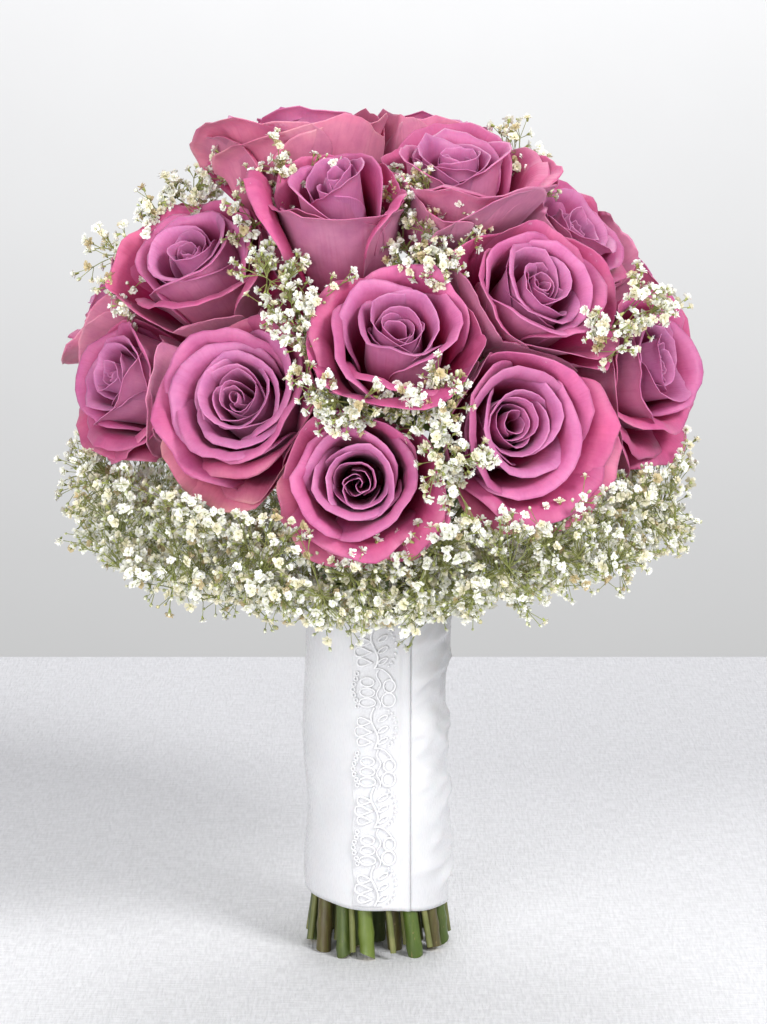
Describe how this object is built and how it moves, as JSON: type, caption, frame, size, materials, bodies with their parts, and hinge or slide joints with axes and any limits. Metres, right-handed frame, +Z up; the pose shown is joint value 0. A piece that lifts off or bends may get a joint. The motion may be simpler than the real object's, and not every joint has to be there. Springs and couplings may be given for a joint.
{
  "type": "bridal bouquet",
  "caption": "Hand-tied bridal bouquet: a dome of open roses over a collar of small white filler blooms, on a cloth-wrapped stem handle with a lace band.",
  "frame": {"origin": "middle of the cut stem ends, on the surface that the bouquet stands on", "axes": "+Z up along the handle to the flowers, -Y to the front, where the lace band runs, +X to the right"},
  "size_m": [0.2714, 0.2657, 0.3743],
  "materials": {
    "petal": "soft velvety rose petal",
    "stem": "smooth green stem",
    "gypsophila": "matt cream floret",
    "satin": "glossy satin",
    "lace": "matt corded lace with pearls",
    "tape": "matt waxed florist's tape"
  },
  "bodies": {
    "root": {"rose_bloom_01": "petal", "rose_bloom_02": "petal", "rose_bloom_03": "petal", "rose_bloom_04": "petal", "rose_bloom_05": "petal", "rose_bloom_06": "petal", "rose_bloom_07": "petal", "rose_bloom_08": "petal", "rose_bloom_09": "petal", "rose_bloom_10": "petal", "rose_bloom_11": "petal", "rose_bloom_12": "petal", "rose_bloom_13": "petal", "rose_bloom_14": "petal", "rose_bloom_15": "petal", "rose_bloom_16": "petal", "rose_bloom_17": "petal", "rose_bloom_18": "petal", "rose_bloom_19": "petal", "rose_bloom_20": "petal", "rose_stem_01": "stem", "rose_stem_02": "stem", "rose_stem_03": "stem", "rose_stem_04": "stem", "rose_stem_05": "stem", "rose_stem_06": "stem", "rose_stem_07": "stem", "rose_stem_08": "stem", "rose_stem_09": "stem", "rose_stem_10": "stem", "rose_stem_11": "stem", "rose_stem_12": "stem", "rose_stem_13": "stem", "rose_stem_14": "stem", "rose_stem_15": "stem", "rose_stem_16": "stem", "rose_stem_17": "stem", "rose_stem_18": "stem", "rose_stem_19": "stem", "rose_stem_20": "stem", "gypsophila_01": "gypsophila", "gypsophila_02": "gypsophila", "gypsophila_03": "gypsophila", "gypsophila_04": "gypsophila", "gypsophila_05": "gypsophila", "gypsophila_06": "gypsophila", "gypsophila_07": "gypsophila", "gypsophila_08": "gypsophila", "gypsophila_09": "gypsophila", "gypsophila_10": "gypsophila", "gypsophila_11": "gypsophila", "gypsophila_12": "gypsophila", "gypsophila_13": "gypsophila", "gypsophila_14": "gypsophila", "gypsophila_15": "gypsophila", "gypsophila_16": "gypsophila", "gypsophila_17": "gypsophila", "satin_wrap": "satin", "stem_binding": "tape", "lace_band": "lace"}
  },
  "joints": []
}
